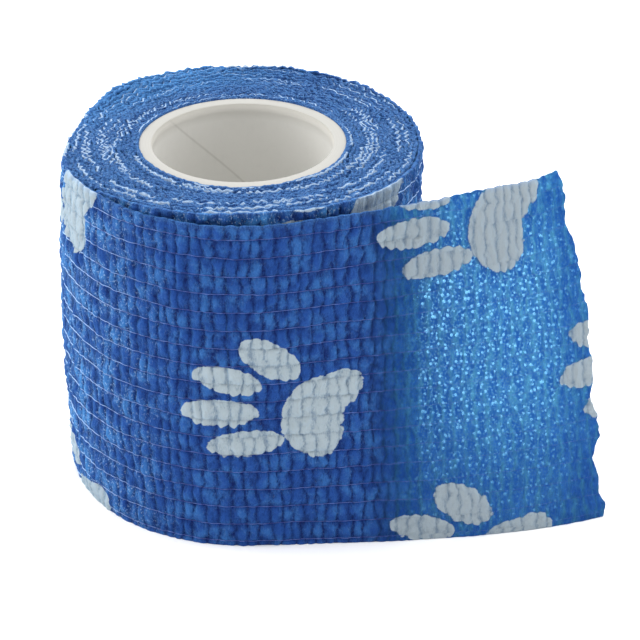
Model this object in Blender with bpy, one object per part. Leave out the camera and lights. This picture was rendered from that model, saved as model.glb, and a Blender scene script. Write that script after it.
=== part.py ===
"""Cohesive bandage roll: creped self-adherent cloth wound on a short paper tube, standing on end,
with its loose end drawn off the front and left standing.

Sizes are in millimetres in the roll's own frame: the axis stands at x = y = 0, the cloth rests on
z = 0, and an angle is counted from the front (-Y) towards the right (+X). The finished pieces are
moved so that the origin lies under the middle of the whole object, and are made in metres.
"""

import math

import bmesh
import bpy
import numpy as np

MM = 0.001

# Cloth and tube
CLOTH_WIDTH = 50.0
SHEET = 1.0
ROLL_RADIUS = 25.2
TUBE_BORE_RADIUS = 12.4
TUBE_RADIUS = 14.35
TUBE_EDGE_ROUND = 0.3
CLEARANCE = 0.3

# The end face stands a little proud at the front, where the turns have slipped upward
PROUD_HEIGHT = 1.2
PROUD_MIDDLE_DEG = 5.0
PROUD_HALF_WIDTH_DEG = 75.0
OUTER_BAND = 1.3

# The loose end, at its lower and its upper edge: where it leaves the roll, the heading that it
# has turned to at the cut end, its length, and how late it turns
LOOSE_END = {
    "leaves_deg": (2.6, 18.5),
    "heading_deg": (23.0, 38.0),
    "length": (50.0, 39.5),
    "lateness": (2.6, 1.6),
}

# The cut end is not straight: (height of the wave, half waves over the width, shift in half waves)
CUT_WAVES = (
    (1.0, 1.0, 0.0),
    (0.35, 3.0, 0.4),
    (0.3, 7.0, 0.1),
)

# How finely each surface is divided
LEVELS = 10
TURN_STEPS = 90
LOOSE_STEPS = 26
TUBE_STEPS = 72

# name: (colour, roughness, metallic)
FINISHES = {
    "bandage": ((0.045, 0.150, 0.500), 0.85, 0.0),
    "core": ((0.780, 0.770, 0.710), 0.75, 0.0),
}


def clear_scene():
    """Remove what the file opens with."""
    for thing in list(bpy.data.objects):
        bpy.data.objects.remove(thing, do_unlink=True)


def finish(name):
    """A plain surface of the piece's own colour."""
    colour, roughness, metallic = FINISHES[name]
    material = bpy.data.materials.new(name)
    material.use_nodes = True
    shader = material.node_tree.nodes["Principled BSDF"]
    shader.inputs["Base Color"].default_value = (*colour, 1.0)
    shader.inputs["Roughness"].default_value = roughness
    shader.inputs["Metallic"].default_value = metallic
    return material


def between(name, height):
    """A loose-end value at a height from 0 (lower edge) to 1 (upper edge)."""
    low, high = LOOSE_END[name]
    return low + (high - low) * height


def on_circle(radius, angle_deg):
    """Plan positions on a circle round the axis."""
    angle = np.radians(angle_deg)
    return np.stack([radius * np.sin(angle), -radius * np.cos(angle)], axis=-1)


def loose_length(height):
    """Length of the loose end at one height, with the waves of its cut."""
    waves = sum(
        size * math.sin(math.pi * (count * height + shift)) for size, count, shift in CUT_WAVES
    )
    return between("length", height) + waves


def loose_line(height):
    """Middle line of the loose end at one height, in plan.

    It leaves the roll along the tangent, and its heading then turns by a power of the distance
    run. Returns the distances from the roll's front, the positions and the outward directions.
    """
    run = np.linspace(0.0, 1.0, LOOSE_STEPS + 1)
    length = loose_length(height)
    start = between("leaves_deg", height)
    turned = (between("heading_deg", height) - start) * run ** between("lateness", height)
    heading = np.radians(start + turned)
    along = np.stack([np.cos(heading), np.sin(heading)], axis=-1)
    outward = np.stack([np.sin(heading), -np.cos(heading)], axis=-1)
    middle_radius = ROLL_RADIUS - SHEET / 2
    steps = (along[1:] + along[:-1]) / 2 * length / LOOSE_STEPS
    places = np.vstack([[0.0, 0.0], np.cumsum(steps, axis=0)]) + on_circle(middle_radius, start)
    distance = middle_radius * math.radians(start) + run * length
    return distance, places, outward


def loose_heights(height, distance, places):
    """Height of the loose end's points: an upright line of the cloth keeps its length as it leans
    away from the lower edge's point at the same distance along the cloth."""
    low_distance, low_places, _ = loose_line(0.0)
    foot = np.stack(
        [np.interp(distance, low_distance, low_places[:, axis]) for axis in (0, 1)], axis=-1
    )
    lean = np.linalg.norm(places - foot, axis=1)
    return np.sqrt(np.maximum((height * CLOTH_WIDTH) ** 2 - lean**2, 0.0))


def raised(points, heights):
    """Plan positions with their heights."""
    return np.column_stack([points, np.broadcast_to(heights, len(points))])


def proud(angle_deg):
    """How far the turns stand above the cloth's width at an angle."""
    off = (angle_deg - PROUD_MIDDLE_DEG + 180.0) % 360.0 - 180.0
    part = np.clip(1.0 - np.abs(off) / PROUD_HALF_WIDTH_DEG, 0.0, 1.0)
    return PROUD_HEIGHT * part**2 * (3.0 - 2.0 * part)


class Section:
    """The bandage's points at one height.

    hole: round the tube. rim: round the outer face from where the loose end leaves, its radius
    growing by one sheet over the turn. outer, inner: the two faces of the loose end, after the
    rim's last and before its first point.
    """

    def __init__(self, height):
        z = height * CLOTH_WIDTH
        turn = np.linspace(0.0, 360.0, TURN_STEPS + 1)
        self.angles = between("leaves_deg", height) + turn
        self.radii = ROLL_RADIUS - SHEET + SHEET * turn / 360.0
        self.hole = raised(on_circle(TUBE_RADIUS + CLEARANCE, self.angles[:-1]), z)
        self.rim = raised(self.radii[:, None] * on_circle(1.0, self.angles), z)
        distance, places, outward = loose_line(height)
        heights = loose_heights(height, distance, places)[1:]
        self.outer = raised(places[1:] + outward[1:] * SHEET / 2, heights)
        self.inner = raised(places[1:] - outward[1:] * SHEET / 2, heights)

    def outline(self):
        """The closed outer outline, counter-clockwise from above."""
        return np.vstack([self.rim, self.outer, self.inner[::-1]])


def ring_of(mesh, points):
    """Mesh vertices at points."""
    return [mesh.verts.new(point * MM) for point in points]


def wall(mesh, low, high, outward=True):
    """Quads between two closed loops of like length, one above the other."""
    count = len(low)
    for i in range(count):
        j = (i + 1) % count
        corners = [low[i], low[j], high[j], high[i]]
        mesh.faces.new(corners if outward else corners[::-1])


def cap(mesh, hole, outline, loops, up):
    """The end face: rings of quads from the tube's hole through the loops between to the outer
    outline, with the loose end's strip beyond the last one."""
    rim = outline[: TURN_STEPS + 1]
    outer = outline[TURN_STEPS + 1 : TURN_STEPS + 1 + LOOSE_STEPS]
    inner = outline[TURN_STEPS + 1 + LOOSE_STEPS :][::-1]
    faces = []
    rings = [hole, *loops]
    for near, far in zip(rings, rings[1:]):
        for i in range(TURN_STEPS):
            j = (i + 1) % TURN_STEPS
            faces.append([near[i], far[i], far[j], near[j]])
    last = rings[-1]
    for i in range(TURN_STEPS - 1):
        faces.append([last[i], rim[i], rim[i + 1], last[i + 1]])
    faces.append([last[-1], rim[-2], rim[-1], rim[0], last[0]])
    near_strip = [rim[0], *inner]
    far_strip = [rim[-1], *outer]
    for i in range(LOOSE_STEPS):
        faces.append([near_strip[i], far_strip[i], far_strip[i + 1], near_strip[i + 1]])
    for corners in faces:
        mesh.faces.new(corners if up else corners[::-1])


def end_loops(mesh, section):
    """Two loops on the upper end face that carry its proud part: one half way out, and one at the
    outermost turns' inner side."""
    lift = proud(section.angles[:-1])
    inside = TUBE_RADIUS + CLEARANCE
    band = section.radii[:-1] - OUTER_BAND
    loops = []
    for radius, share in ((inside + (band - inside) * 0.4, 0.5), (band, 1.0)):
        plan = radius[:, None] * on_circle(1.0, section.angles[:-1])
        loops.append(ring_of(mesh, raised(plan, CLOTH_WIDTH + share * lift)))
    return loops


def make_bandage():
    """The wound cloth and its loose end as one closed body."""
    mesh = bmesh.new()
    sections = [Section(level / LEVELS) for level in range(LEVELS + 1)]
    outlines = [ring_of(mesh, section.outline()) for section in sections]
    holes = [ring_of(mesh, section.hole) for section in sections]
    for low, high in zip(outlines, outlines[1:]):
        wall(mesh, low, high)
    for low, high in zip(holes, holes[1:]):
        wall(mesh, low, high, outward=False)
    cap(mesh, holes[0], outlines[0], [], up=False)
    cap(mesh, holes[-1], outlines[-1], end_loops(mesh, sections[-1]), up=True)
    return mesh


def make_core():
    """The paper tube: its wall's profile, with rounded edges, turned round the axis."""
    mesh = bmesh.new()
    top = CLOTH_WIDTH
    edge = TUBE_EDGE_ROUND
    profile = [
        (TUBE_RADIUS - edge, 0.0),
        (TUBE_RADIUS, edge),
        (TUBE_RADIUS, top - edge),
        (TUBE_RADIUS - edge, top),
        (TUBE_BORE_RADIUS + edge, top),
        (TUBE_BORE_RADIUS, top - edge),
        (TUBE_BORE_RADIUS, edge),
        (TUBE_BORE_RADIUS + edge, 0.0),
    ]
    angles = np.arange(TUBE_STEPS) * 360.0 / TUBE_STEPS
    rings = [ring_of(mesh, raised(on_circle(radius, angles), z)) for radius, z in profile]
    for low, high in zip(rings, rings[1:] + rings[:1]):
        wall(mesh, low, high)
    return mesh


def as_object(name, mesh):
    """A smooth object from a mesh, sharp where its faces meet at a clear edge."""
    data = bpy.data.meshes.new(name)
    mesh.to_mesh(data)
    mesh.free()
    data.materials.append(finish(name))
    data.shade_smooth()
    data.set_sharp_from_angle(angle=math.radians(35.0))
    thing = bpy.data.objects.new(name, data)
    bpy.context.collection.objects.link(thing)
    return thing


def stand_over_origin(things):
    """Move the pieces together, so that the origin lies under the middle of their common box."""
    points = np.array([vertex.co for thing in things for vertex in thing.data.vertices])
    middle = (points.min(axis=0) + points.max(axis=0)) / 2
    for thing in things:
        thing.location = (-middle[0], -middle[1], 0.0)


def main():
    """Build the object."""
    clear_scene()
    stand_over_origin([as_object("core", make_core()), as_object("bandage", make_bandage())])


main()
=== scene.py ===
"""Looks of a cohesive bandage roll: creped self-adherent cloth with fine elastic threads and paw
prints, wound on a paper tube, standing on end with its loose end drawn off the front.

The pieces are worked out in millimetres in the roll's own frame: the axis stands at x = y = 0, the
cloth rests on z = 0 and an angle is counted from the front (-Y) towards the right (+X). A place on
the cloth is (s, z): s is the distance along the strip from the roll's front, positive towards the
loose end and negative into the roll, and z is the distance across it from its lower edge.
"""

import logging
import math
from dataclasses import dataclass, field
from enum import Enum
from functools import partial, reduce

import bpy
import numpy as np
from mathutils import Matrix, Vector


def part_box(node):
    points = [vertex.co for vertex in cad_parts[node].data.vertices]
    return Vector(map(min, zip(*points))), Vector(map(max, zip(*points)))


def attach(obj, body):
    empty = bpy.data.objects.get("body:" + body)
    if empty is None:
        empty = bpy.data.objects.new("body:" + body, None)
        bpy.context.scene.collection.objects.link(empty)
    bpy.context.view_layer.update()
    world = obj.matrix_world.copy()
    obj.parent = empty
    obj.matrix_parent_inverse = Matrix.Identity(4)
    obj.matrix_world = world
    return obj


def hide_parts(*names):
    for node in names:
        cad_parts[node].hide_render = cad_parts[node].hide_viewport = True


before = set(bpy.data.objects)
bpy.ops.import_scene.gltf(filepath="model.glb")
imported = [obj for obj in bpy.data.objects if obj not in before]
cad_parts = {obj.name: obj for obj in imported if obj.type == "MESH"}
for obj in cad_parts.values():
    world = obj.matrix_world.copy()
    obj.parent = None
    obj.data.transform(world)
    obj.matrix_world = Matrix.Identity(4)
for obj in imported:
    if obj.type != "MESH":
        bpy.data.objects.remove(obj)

LOG = logging.getLogger("bandage")
BODY = "root"
MM = 0.001
MM_IN_CM = 10.0
TURN = 2.0 * math.pi
TINY = 1e-12
FAR = 99.0

Array = np.ndarray
Triples = tuple[tuple[float, float, float], ...]


class Slot(Enum):
    """The record's material slots."""

    CLOTH = "creped_cloth"
    PAPER = "paper_tube"


class Node(Enum):
    """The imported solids."""

    CLOTH = "bandage"
    PAPER = "core"


def smooth(value: Array, low: float, high: float) -> Array:
    """Smooth step: 0 below low, 1 above high, and 3x^2 - 2x^3 between.

    Args:
        value: Where to read it.
        low: Where it starts to rise.
        high: Where it reaches 1.

    Returns:
        The step's height, of value's shape.
    """
    part = np.clip((value - low) / (high - low), 0.0, 1.0)
    return part * part * (3.0 - 2.0 * part)


def round_axis(radius: Array, angle: Array, *height: Array) -> Array:
    """Places round the axis: the radius times the angle's sine and minus its cosine, and the
    height if it is given.

    Args:
        radius: Distances from the axis.
        angle: Angles in radians, counted from the front.
        height: The heights, or nothing for a place in plan.

    Returns:
        The coordinates in the last axis.
    """
    return np.stack([radius * np.sin(angle), -radius * np.cos(angle), *height], axis=-1)


def unit(vectors: Array) -> Array:
    """Vectors divided by their lengths."""
    return vectors / np.maximum(np.linalg.norm(vectors, axis=-1, keepdims=True), TINY)


def on_cloth(s: Array, z: Array, out: Array = 0.0) -> Array:
    """Places on the cloth in centimetres: along it, across it and out of it, in the last axis."""
    return np.stack(np.broadcast_arrays(s, z, out), axis=-1) / MM_IN_CM


@dataclass(frozen=True)
class Fade:
    """A smooth change of a share between two places."""

    start: float
    stop: float
    before: float = 0.0
    after: float = 1.0

    def of(self, place: Array) -> Array:
        """The share at each place."""
        return self.before + (self.after - self.before) * smooth(place, self.start, self.stop)


class Unevenness:
    """A smooth random field over the plane, from -1 to 1, the same on each run.

    Random numbers stand on a square lattice of unit spacing, and a place between takes the blend
    of its four corners by the smooth step of its share along each side.
    """

    SIDE = 512

    def __init__(self, seed: int) -> None:
        """Draw the lattice.

        Args:
            seed: Which field this is.
        """
        self.lattice = np.random.default_rng(seed).uniform(-1.0, 1.0, (self.SIDE, self.SIDE))

    def at(self, x: Array, y: Array) -> Array:
        """Read the field.

        Args:
            x: First coordinates, in lattice steps.
            y: Second coordinates, which broadcast against x.

        Returns:
            The field's values.
        """
        x, y = np.broadcast_arrays(x, y)
        column, row = np.floor(x).astype(int), np.floor(y).astype(int)
        across, along = smooth(x - column, 0.0, 1.0), smooth(y - row, 0.0, 1.0)
        left, low = column % self.SIDE, row % self.SIDE
        right, high = (left + 1) % self.SIDE, (low + 1) % self.SIDE
        near = self.lattice[left, low] * (1 - across) + self.lattice[right, low] * across
        far = self.lattice[left, high] * (1 - across) + self.lattice[right, high] * across
        return near * (1 - along) + far * along

    def strays(self, place: Array, parts: Triples) -> Array:
        """A line's strays: the sum, over its parts, of strength times the field.

        Args:
            place: Distances along the line.
            parts: For each part its strength, the length over which it changes and its row of
                the field.

        Returns:
            How far the line strays at each place.
        """
        return sum(strength * self.at(place / length, row) for strength, length, row in parts)


@dataclass(frozen=True)
class Ripple:
    """How an unevenness is laid over the cloth: its strength, the lengths along and across over
    which it changes, where it is read from, and its step from one row of puckers to the next."""

    strength: float
    along: float
    across: float
    start: float = 0.0
    row_step: float = 0.0

    def of(self, uneven: Unevenness, s: Array, z: Array, row: Array = 0.0) -> Array:
        """The values at places on the cloth.

        Args:
            uneven: The random field.
            s: Distances along the cloth.
            z: Distances across it.
            row: Numbers of the rows of puckers.

        Returns:
            The field's values times the strength.
        """
        across = z / self.across + self.row_step * row
        return self.strength * uneven.at(s / self.along + self.start, across)


@dataclass
class ClothRun:
    """Where the middle of the strip lies, as a function of (s, z).

    On the roll it is a spiral whose radius shrinks by one turn's thickness a turn. The loose end
    leaves along the tangent, and its heading turns by a power of the share of its length. Each
    upright line of the cloth keeps its length as the loose end leans back from its lower edge.
    """

    width: float
    outer_radius: float = 24.85
    turn_pitch: float = 0.6
    leaves_deg: tuple[float, float] = (2.6, 18.5)
    heading_deg: tuple[float, float] = (23.0, 38.0)
    loose_length: tuple[float, float] = (50.0, 39.5)
    lateness: tuple[float, float] = (2.6, 1.6)
    cut_waves: Triples = ((1.0, 1.0, 0.0), (0.35, 3.0, 0.4), (0.3, 7.0, 0.1))
    leans_over: tuple[float, float] = (0.0, 8.0)
    steps: int = 600
    reach: float = 1.15

    def growth(self) -> float:
        """How much the radius grows for each radian."""
        return self.turn_pitch / TURN

    def mix(self, pair: tuple[float, float], share: Array) -> Array:
        """A value that goes straight from the lower edge's to the upper edge's."""
        return pair[0] + (pair[1] - pair[0]) * share

    def angle_at(self, s: Array) -> Array:
        """The angle, in radians, at a distance along the spiral.

        The distance is the integral of the radius, R a + k a^2 / 2, so the angle is the root of
        that square equation.
        """
        k = self.growth()
        inside = np.maximum(self.outer_radius**2 + 2.0 * k * s, 1.0)
        return (np.sqrt(inside) - self.outer_radius) / k

    def distance_at(self, angle: Array) -> Array:
        """The distance along the spiral at an angle in radians, R a + k a^2 / 2."""
        return self.outer_radius * angle + self.growth() * angle**2 / 2.0

    def leaving(self, share: Array) -> Array:
        """The angle, in radians, where the cloth leaves the roll at a share of its width."""
        return np.radians(self.mix(self.leaves_deg, share))

    def end(self, share: Array) -> Array:
        """The distance of the cut end, with the waves of its cut: sines over the width."""
        waves = sum(
            size * np.sin(math.pi * (count * share + shift))
            for size, count, shift in self.cut_waves
        )
        straight = self.mix(self.loose_length, share)
        return self.distance_at(self.leaving(share)) + straight + waves

    def plan(self, s: Array, share: Array) -> Array:
        """Positions in plan.

        Args:
            s: Distances, rows of points.
            share: Shares of the width, one for each row, as a column.

        Returns:
            x and y in the last axis.
        """
        start = self.leaving(share)
        angle = self.angle_at(s)
        radius = self.outer_radius + self.growth() * (angle - start)
        wound = round_axis(radius, angle)
        run = np.linspace(0.0, self.reach, self.steps)[None, :]
        length = self.mix(self.loose_length, share)
        turned = np.radians(self.mix(self.heading_deg, share)) - start
        heading = start + turned * run ** self.mix(self.lateness, share)
        along = np.stack([np.cos(heading), np.sin(heading)], axis=-1)
        strides = (along[:, 1:] + along[:, :-1]) / 2 * (run[0, 1] * length)[..., None]
        first = round_axis(self.outer_radius, start)
        line = np.concatenate([np.zeros_like(first), np.cumsum(strides, axis=1)], axis=1) + first
        gone = s - self.distance_at(start)
        place = np.clip(gone / length / self.reach, 0.0, 1.0) * (self.steps - 1)
        near = np.minimum(place.astype(int), self.steps - 2)
        part = (place - near)[..., None]
        low, high = (np.take_along_axis(line, near[..., None] + step, axis=1) for step in (0, 1))
        return np.where((gone > 0.0)[..., None], low + (high - low) * part, wound)

    def lie(self, s: Array, z: Array) -> Array:
        """Positions of the strip's middle.

        The plan place is read at each row's own share of the width. A point stands at
        sqrt(z^2 - lean^2), where lean is how far it lies in plan from the lower edge's point at
        the same distance.

        Args:
            s: Distances, one row of the cloth for each row of the array.
            z: Distances across the cloth, of the same shape.

        Returns:
            x, y and height in the last axis.
        """
        share = z.mean(axis=1, keepdims=True) / self.width
        there = self.plan(s, share)
        foot = self.plan(s, np.zeros_like(share))
        lean = np.linalg.norm(there - foot, axis=-1) * smooth(s, *self.leans_over)
        height = np.sqrt(np.maximum(z**2 - lean**2, 0.0))
        return np.concatenate([there, height[..., None]], axis=-1)


@dataclass
class Crepe:
    """The cloth's relief: rows of upright puckers between the elastic threads.

    thread_z gives each thread's height. Between two threads a pucker is |sin| of the distance,
    raised to a power under 1, so its crest is full and its groove narrow. Smooth random fields
    shift and size the puckers, and each row is shifted a little from the next. Where the loose end
    is drawn flat, the rows fade and the puckers are lower.
    """

    width: float
    threads: int = 18
    first_thread: float = 0.8
    thread_pitch: float = 2.775
    row_shares: tuple[float, ...] = (-0.055, 0.0, 0.055, 0.16, 0.33, 0.5, 0.67, 0.84)
    edge_row: float = 0.12
    edge_bare: float = 0.25
    edge_calm: float = 2.0
    pucker: float = 1.65
    height: float = 0.40
    thread_dip: float = 0.09
    fullness: float = 0.72
    row_fullness: float = 0.4
    row_share: float = 0.54
    usual_size: float = 0.78
    lit_by_size: tuple[float, float] = (0.70, 0.35)
    lit_by_wrinkle: float = 1.6
    drawn_from: tuple[float, float] = (16.0, 30.0)
    drawn_rows: float = 0.85
    drawn_height: float = 0.40
    wanders: tuple[Ripple, Ripple] = (Ripple(0.16, 6.5, 4.0), Ripple(0.05, 1.7, 2.5, 90.0))
    slow_shift: Ripple = Ripple(0.45, 6.0, 20.0)
    row_shift: Ripple = Ripple(0.26, 2.4, math.inf, row_step=3.7)
    quick_shift: Ripple = Ripple(0.20, 1.1, 1.0, 200.0)
    sizes: Ripple = Ripple(0.80, 1.3, 1.1)
    wrinkle: Ripple = Ripple(0.13, 0.45, 0.85, row_step=7.0)
    swell: Ripple = Ripple(0.08, 4.5, 6.0, 60.0)
    drift: Unevenness = field(default_factory=lambda: Unevenness(11))
    jump: Unevenness = field(default_factory=lambda: Unevenness(12))
    size: Unevenness = field(default_factory=lambda: Unevenness(13))
    sag: Unevenness = field(default_factory=lambda: Unevenness(14))
    grain: Unevenness = field(default_factory=lambda: Unevenness(15))

    def thread_z(self) -> Array:
        """Heights of the threads."""
        return self.first_thread + self.thread_pitch * np.arange(self.threads)

    def rows(self) -> Array:
        """Heights of the cloth's grid rows: close together at each thread, wide between."""
        shares = np.array(self.row_shares)
        inner = (self.thread_z()[:, None] + shares * self.thread_pitch).ravel()
        inner = inner[(inner > self.edge_bare) & (inner < self.width - self.edge_bare)]
        edge = self.edge_row
        return np.concatenate([[0.0, edge], inner, [self.width - edge, self.width]])

    def wander(self, s: Array, z: Array) -> Array:
        """How far a thread or a grid row strays up or down, dying out at the cloth's edges."""
        calm = smooth(z, 0.0, self.edge_calm)
        calm = calm * (1.0 - smooth(z, self.width - self.edge_calm, self.width))
        return calm * sum(ripple.of(self.sag, s, z) for ripple in self.wanders)

    def relief(self, s: Array, z: Array) -> tuple[Array, Array]:
        """Height of the outward face over the cloth's base, and how much of a crest it is.

        Args:
            s: Distances along the cloth.
            z: Heights across it, before the threads' wander.

        Returns:
            The heights in millimetres, and the crest's share from 0 in a groove to 1, by which the
            finishes paint shade in the grooves.
        """
        row = (z - self.first_thread) / self.thread_pitch
        index = np.floor(row)
        across = row - index
        drawn = smooth(s, *self.drawn_from)
        shift = self.slow_shift.of(self.drift, s, z)
        shift = shift + self.row_shift.of(self.jump, s, z, index)
        shift = shift + self.quick_shift.of(self.jump, s, z)
        crest = np.abs(np.sin(math.pi * (s / self.pucker + shift))) ** self.fullness
        body = np.sin(math.pi * np.clip(across, 0.0, 1.0)) ** self.row_fullness
        body = body + (1.0 - body) * self.drawn_rows * drawn
        tall = self.usual_size + self.sizes.of(self.size, s, z)
        share = crest * (1.0 - self.row_share + self.row_share * body)
        fine = self.wrinkle.of(self.grain, s, z, index)
        slow = self.swell.of(self.size, s, z)
        height = self.height * tall * share - self.thread_dip * (1.0 - body) + fine * body + slow
        height = height * (1.0 - self.drawn_height * drawn)
        least, by_size = self.lit_by_size
        lit = share * (least + by_size * tall) + self.lit_by_wrinkle * fine * body
        return height, np.clip(lit, 0.0, 1.0)


@dataclass(frozen=True)
class Blot:
    """One oval of the print: its middle from the pad's middle, its half axes and its tilt."""

    along: float
    across: float
    half_length: float
    half_width: float
    tilt_deg: float = 0.0

    def distance(self, x: Array, y: Array) -> Array:
        """Signed distance to the oval's outline, negative inside.

        With q the place in half axes, it is |q| (|q| - 1) over |q / half axes|, which is right
        near the outline.
        """
        tilt = math.radians(self.tilt_deg)
        dx, dy = x - self.along, y - self.across
        u = dx * math.cos(tilt) + dy * math.sin(tilt)
        v = dy * math.cos(tilt) - dx * math.sin(tilt)
        scaled = np.hypot(u / self.half_length, v / self.half_width)
        slope = np.hypot(u / self.half_length**2, v / self.half_width**2)
        return scaled * (scaled - 1.0) / np.maximum(slope, TINY)


@dataclass(frozen=True)
class PawPrint:
    """The printed repeat: a paw of ovals, its toes towards the roll, in columns along the strip.

    Every other column is raised by half the repeat. The columns on either side of a join of the
    printing roller stand a little further apart, and the inner one is a little higher. Over the
    first columns inward from the roll's front the print also drifts up a little.
    """

    toes: tuple[Blot, ...] = (
        Blot(-7.0, 8.4, 4.7, 2.5, -33.0),
        Blot(-12.7, 5.2, 4.6, 1.95, -12.0),
        Blot(-13.8, 0.1, 5.3, 2.0, 1.0),
        Blot(-10.3, -4.7, 5.2, 2.0, 5.0),
    )
    pad: tuple[Blot, ...] = (
        Blot(-1.4, -0.7, 4.0, 5.6, -12.0),
        Blot(2.7, 3.1, 3.2, 2.6, 28.0),
        Blot(0.1, -4.3, 2.5, 3.0, -20.0),
    )
    column_pitch: float = 26.7
    raise_by: float = 24.5
    first_along: float = 10.9
    first_across: float = 21.2
    columns_to_join: int = 6
    join_gap: float = 11.2
    join_rise: float = 0.7625
    drift: float = 0.0375
    drifting_columns: int = 5
    blend: float = 0.8
    least_weight: float = 1e-30

    def joins(self, number: Array) -> Array:
        """How many joins are passed on the way in to a column."""
        return np.ceil(np.maximum(-number, 0.0) / self.columns_to_join)

    def column_middle(self, number: Array) -> Array:
        """Where a column's pads stand along the strip."""
        return self.first_along + self.column_pitch * number - self.join_gap * self.joins(number)

    def one_paw(self, x: Array, y: Array) -> Array:
        """Signed distance to one paw: the least of its ovals', the pad's blended smoothly.

        Args:
            x: Distances along the strip from the pad's middle.
            y: Distances across it from the pad's middle.

        Returns:
            The signed distances.
        """
        weights = sum(np.exp(-blot.distance(x, y) / self.blend) for blot in self.pad)
        found = -self.blend * np.log(np.maximum(weights, self.least_weight))
        for toe in self.toes:
            found = np.minimum(found, toe.distance(x, y))
        return found

    def distance(self, s: Array, z: Array) -> Array:
        """Signed distance to the print, in millimetres, negative on the ink.

        Args:
            s: Distances along the cloth.
            z: Distances across it.

        Returns:
            The least signed distance to the paws near each place.
        """
        spread = self.column_pitch + self.join_gap / self.columns_to_join
        inward = np.minimum(s - self.first_along, 0.0) / spread
        nearest = np.round(inward + np.maximum(s - self.first_along, 0.0) / self.column_pitch)
        found = np.full(np.broadcast(s, z).shape, FAR)
        for column in (-1, 0, 1):
            number = nearest + column
            x = s - self.column_middle(number)
            lift = np.where(number % 2 == 0, 0.0, self.raise_by) + self.join_rise * self.joins(number)
            lift = lift + self.drift * np.clip(-number, 0, self.drifting_columns)
            for repeat in (-2, 0, 2):
                y = z - self.first_across - lift - repeat * self.raise_by
                found = np.minimum(found, self.one_paw(x, y))
        return found


@dataclass
class MeshMaker:
    """Turns grids of points in the roll's frame into pieces of the object."""

    axis: Array

    def piece(
        self,
        name: str,
        points: Array,
        faces: Array,
        material: bpy.types.Material,
        values: dict[str, Array],
        slot: Slot,
    ) -> bpy.types.Object:
        """Make one piece, riding on the object's body.

        Args:
            name: The piece's name.
            points: Its points, in millimetres from the roll's axis on the floor.
            faces: Rows of four point numbers.
            material: Its finish.
            values: What its finish reads, one number or three for each point, by name.
            slot: The record's material slot; not used.

        Returns:
            The piece.
        """
        mesh = bpy.data.meshes.new(name)
        mesh.from_pydata((points * MM + self.axis).tolist(), [], faces.tolist())
        mesh.materials.append(material)
        mesh.shade_smooth()
        for key, value in values.items():
            kind, part = ("FLOAT", "value") if value.ndim == 1 else ("FLOAT_VECTOR", "vector")
            made = mesh.attributes.new(key, kind, "POINT")
            made.data.foreach_set(part, value.astype(np.float32).ravel())
        mesh.update()
        thing = bpy.data.objects.new(name, mesh)
        bpy.context.scene.collection.objects.link(thing)
        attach(thing, BODY)
        LOG.info("%s: %d points, %d faces", name, len(points), len(faces))
        return thing


def grid_faces(rows: int, columns: int, around: bool = False, outward: bool = True) -> Array:
    """Quads over a grid of points stored row by row.

    Args:
        rows: How many rows.
        columns: How many columns.
        around: Whether the last row joins the first.
        outward: The way round that the quads go.

    Returns:
        Rows of four point numbers.
    """
    number = np.arange(rows * columns).reshape(rows, columns)
    low = number if around else number[:-1]
    high = np.roll(number, -1, axis=0) if around else number[1:]
    quads = np.stack([low[:, :-1], low[:, 1:], high[:, 1:], high[:, :-1]], axis=-1).reshape(-1, 4)
    return quads if outward else quads[:, ::-1]


def normals_of(places: Array) -> Array:
    """Unit normals of a grid of places: the cross product of its two slopes, along times up."""
    return unit(np.cross(np.gradient(places, axis=1), np.gradient(places, axis=0)))


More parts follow.
